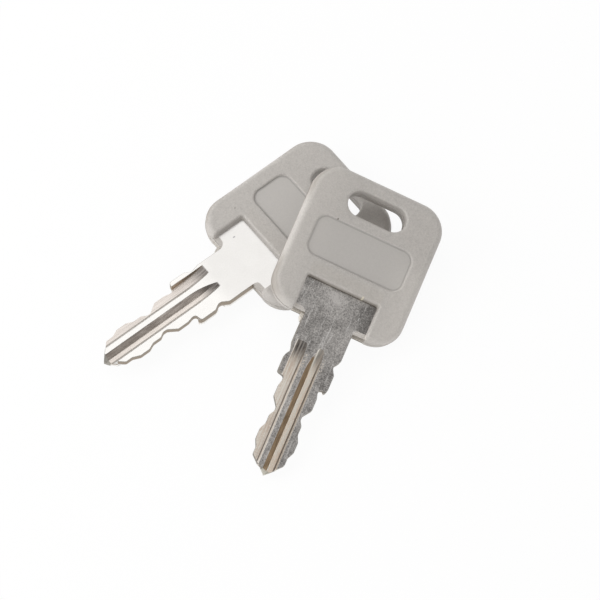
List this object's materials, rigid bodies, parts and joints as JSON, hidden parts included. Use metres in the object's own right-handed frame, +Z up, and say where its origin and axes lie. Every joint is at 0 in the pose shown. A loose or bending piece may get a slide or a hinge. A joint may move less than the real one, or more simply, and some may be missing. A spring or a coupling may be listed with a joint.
{
  "type": "pair of flat keys",
  "caption": "Flat double bitted cabinet keys with grooved nickel plated blades moulded into light grey plastic heads with ring slots, one key leaning on the other.",
  "frame": {"origin": "on the table, at the bottom centre of the box round both keys", "axes": "+Z up from the table; +Y is the picture's up direction laid on the table, along the pair's longest side; +X to the picture's right"},
  "size_m": [0.0604, 0.0648, 0.013],
  "materials": {
    "head_plastic": "moulded light warm grey plastic, fine matte grain, smoother recessed panel",
    "blade_metal": "bright nickel plating over stamped and milled metal"
  },
  "bodies": {
    "rear_key": {"rear_key_head": "head_plastic", "rear_key_blade": "blade_metal"},
    "front_key": {"front_key_head": "head_plastic", "front_key_blade": "blade_metal"}
  },
  "joints": [
    {"name": "front_key_lift", "type": "slide", "parent": "rear_key", "child": "front_key", "axis": [0, 0, 1], "range_m": [0, 0.03]}
  ]
}
